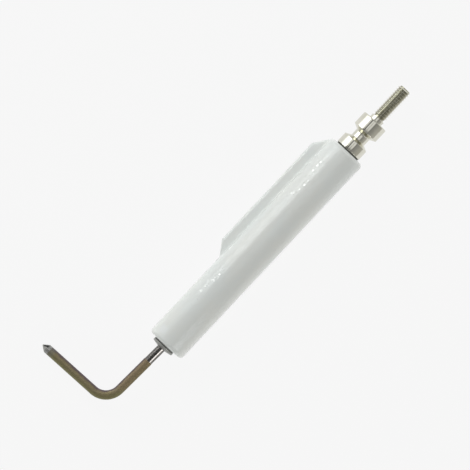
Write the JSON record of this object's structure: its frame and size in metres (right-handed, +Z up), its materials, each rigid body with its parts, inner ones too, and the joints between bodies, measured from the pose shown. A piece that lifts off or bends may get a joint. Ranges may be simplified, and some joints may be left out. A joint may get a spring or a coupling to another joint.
{
  "type": "ignition electrode",
  "caption": "Burner ignition electrode: ribbed glazed ceramic insulator, bent pointed metal rod, and a turned terminal with a threaded stud for the high-voltage lead.",
  "frame": {"origin": "centre of the ceramic's electrode-end face, on the ceramic's axis", "axes": "+X along the ceramic towards the terminal, +Y towards the side of the rib and the bent arm, +Z up with the electrode lying on its ceramic and on the end of its arm"},
  "size_m": [0.1223, 0.031, 0.0118],
  "materials": {
    "glazed_ceramic": "gloss",
    "rod_alloy": "satin",
    "nickel_plate": "polished",
    "washer_steel": "satin",
    "gasket": "matte"
  },
  "bodies": {
    "root": {"insulator": "glazed_ceramic", "electrode_rod": "rod_alloy", "lower_gasket": "gasket", "push_on_washer": "washer_steel", "terminal_gasket": "gasket", "terminal": "nickel_plate"}
  },
  "joints": []
}
